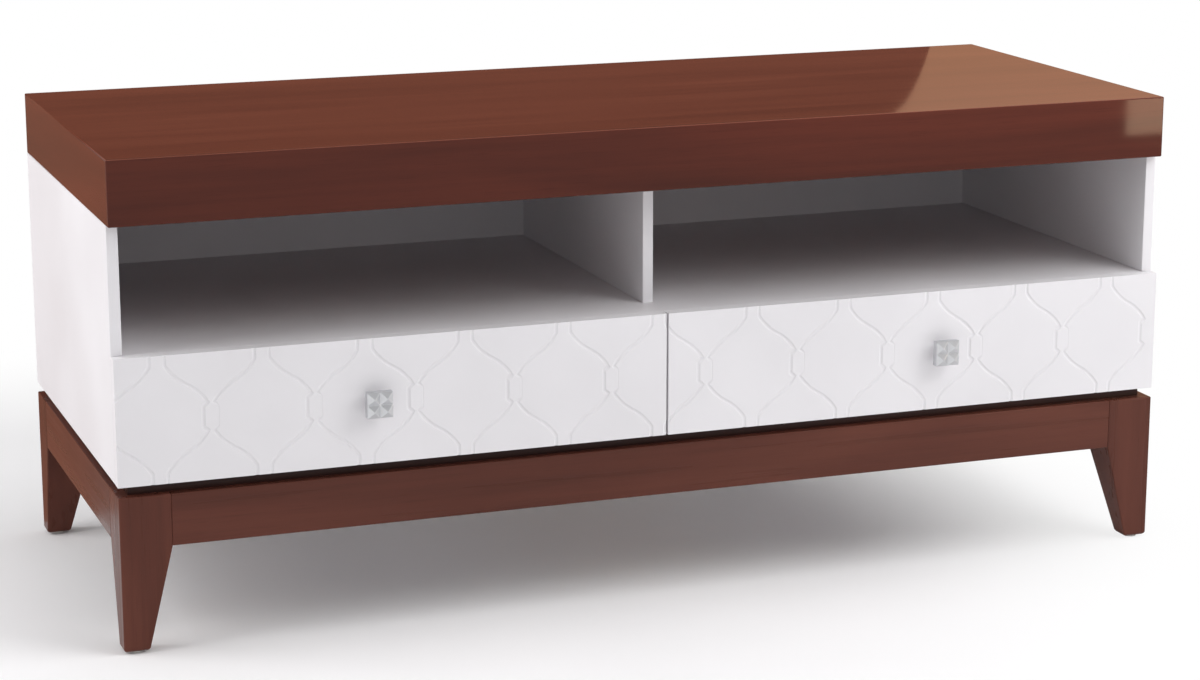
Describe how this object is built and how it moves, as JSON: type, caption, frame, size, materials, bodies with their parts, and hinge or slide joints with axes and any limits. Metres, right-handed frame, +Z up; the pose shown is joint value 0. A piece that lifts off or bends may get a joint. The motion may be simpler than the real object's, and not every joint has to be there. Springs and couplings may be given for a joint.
{
  "type": "media credenza",
  "caption": "Low two-tone credenza: thick glossy wooden top, white open bays over trellis-milled drawers with faceted knobs, on a recessed spacer and tapered-leg frame.",
  "frame": {"origin": "middle of the outline on the floor, knobs included", "axes": "+X along the length to the right as seen from the front, +Y from front to back, +Z up"},
  "size_m": [1.3, 0.535, 0.56],
  "materials": {
    "top_veneer": "high gloss",
    "base_wood": "semi gloss",
    "spacer_stain": "satin",
    "white_lacquer": "satin lacquer",
    "frame_timber": "sawn",
    "drawer_birch": "matte lacquer",
    "hardboard": "smooth foil",
    "knob_metal": "polished",
    "zinc_steel": "satin",
    "runner_enamel": "gloss enamel",
    "nylon": "matte"
  },
  "bodies": {
    "cabinet": {"back_panel": "white_lacquer", "bay_divider": "white_lacquer", "bay_shelf": "white_lacquer", "bottom_panel": "white_lacquer", "corner_blocks": "frame_timber", "cross_rail": "frame_timber", "drawer_partition": "white_lacquer", "foot_glides": "nylon", "left_drawer_channel_left": "runner_enamel", "left_drawer_channel_right": "runner_enamel", "leg_back_left": "base_wood", "leg_back_right": "base_wood", "leg_front_left": "base_wood", "leg_front_right": "base_wood", "rail_back": "base_wood", "rail_front": "base_wood", "rail_left": "base_wood", "rail_right": "base_wood", "right_drawer_channel_left": "runner_enamel", "right_drawer_channel_right": "runner_enamel", "side_panel_left": "white_lacquer", "side_panel_right": "white_lacquer", "spacer_strips": "spacer_stain", "top_battens": "frame_timber", "top_deck": "top_veneer", "top_edge_back": "top_veneer", "top_edge_front": "top_veneer", "top_edge_left": "top_veneer", "top_edge_right": "top_veneer", "top_underside": "top_veneer"},
    "left_drawer": {"left_box_back": "drawer_birch", "left_box_bottom": "hardboard", "left_box_front": "drawer_birch", "left_box_left": "drawer_birch", "left_box_right": "drawer_birch", "left_drawer_front": "white_lacquer", "left_knob_head": "knob_metal", "left_knob_stem": "knob_metal", "left_runner_left": "runner_enamel", "left_runner_right": "runner_enamel"},
    "right_drawer": {"right_box_back": "drawer_birch", "right_box_bottom": "hardboard", "right_box_front": "drawer_birch", "right_box_left": "drawer_birch", "right_box_right": "drawer_birch", "right_drawer_front": "white_lacquer", "right_knob_head": "knob_metal", "right_knob_stem": "knob_metal", "right_runner_left": "runner_enamel", "right_runner_right": "runner_enamel"},
    "left_front_roller_pair": {"left_front_rollers": "nylon"},
    "left_rear_roller_pair": {"left_rear_rollers": "nylon"},
    "right_front_roller_pair": {"right_front_rollers": "nylon"},
    "right_rear_roller_pair": {"right_rear_rollers": "nylon"}
  },
  "joints": [
    {"name": "left_drawer_slide", "type": "slide", "parent": "cabinet", "child": "left_drawer", "axis": [0, -1, 0], "range_m": [0, 0.33]},
    {"name": "left_front_roller_turn", "type": "hinge", "parent": "cabinet", "child": "left_front_roller_pair", "pos_m": [-0.32175, -0.2095, 0.2337], "axis": [1, 0, 0], "range_deg": [0, 2102]},
    {"name": "left_rear_roller_turn", "type": "hinge", "parent": "left_drawer", "child": "left_rear_roller_pair", "pos_m": [-0.32175, 0.2065, 0.23335], "axis": [1, 0, 0], "range_deg": [0, 2102]},
    {"name": "right_drawer_slide", "type": "slide", "parent": "cabinet", "child": "right_drawer", "axis": [0, -1, 0], "range_m": [0, 0.33]},
    {"name": "right_front_roller_turn", "type": "hinge", "parent": "cabinet", "child": "right_front_roller_pair", "pos_m": [0.32175, -0.2095, 0.2337], "axis": [1, 0, 0], "range_deg": [0, 2102]},
    {"name": "right_rear_roller_turn", "type": "hinge", "parent": "right_drawer", "child": "right_rear_roller_pair", "pos_m": [0.32175, 0.2065, 0.23335], "axis": [1, 0, 0], "range_deg": [0, 2102]}
  ],
  "couplings": [
    {"joint": "left_front_roller_turn", "follows": "left_drawer_slide", "rad_per_m": 111.11},
    {"joint": "left_rear_roller_turn", "follows": "left_drawer_slide", "rad_per_m": 111.11},
    {"joint": "right_front_roller_turn", "follows": "right_drawer_slide", "rad_per_m": 111.11},
    {"joint": "right_rear_roller_turn", "follows": "right_drawer_slide", "rad_per_m": 111.11}
  ]
}
